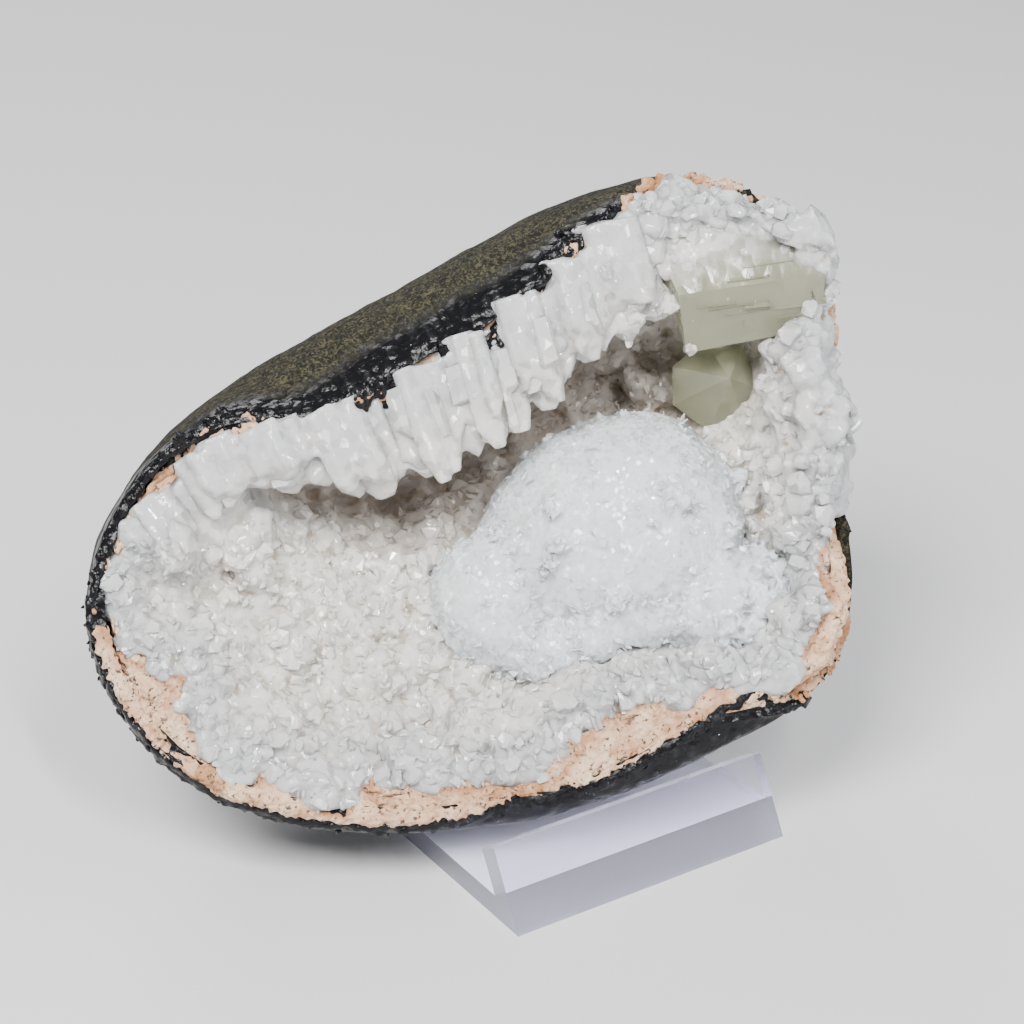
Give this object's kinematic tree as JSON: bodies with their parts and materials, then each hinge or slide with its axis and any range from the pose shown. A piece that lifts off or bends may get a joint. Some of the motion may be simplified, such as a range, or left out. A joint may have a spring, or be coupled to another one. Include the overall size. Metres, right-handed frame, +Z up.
{
  "type": "goosecreekite specimen",
  "caption": "Broken nodule lined with white crystals, with a snow-white mineral ball and pale calcites, leaning on a clear stand.",
  "frame": {"origin": "middle of the stand's foot, on the surface that it stands on", "axes": "+X to the stand's right, -Y to the front, where the hook and the open face of the stone are, +Z up"},
  "size_m": [0.0976, 0.0718, 0.0783],
  "materials": {
    "rind": "dark olive to black, finely pitted, glossy where chipped",
    "chalk": "tan, sugary and pitted",
    "white_crystal": "white translucent crystals",
    "goosecreekite": "snow-white with a faint blue cast, sparkling",
    "calcite": "pale yellow and clear, frosted on top",
    "clear_acrylic": "clear polished acrylic"
  },
  "bodies": {
    "root": {"nodule_rind": "rind", "chalky_layer": "chalk", "crystal_crust": "white_crystal", "goosecreekite_ball": "goosecreekite", "calcite_block": "calcite", "calcite_point": "calcite", "stand": "clear_acrylic"}
  },
  "joints": []
}
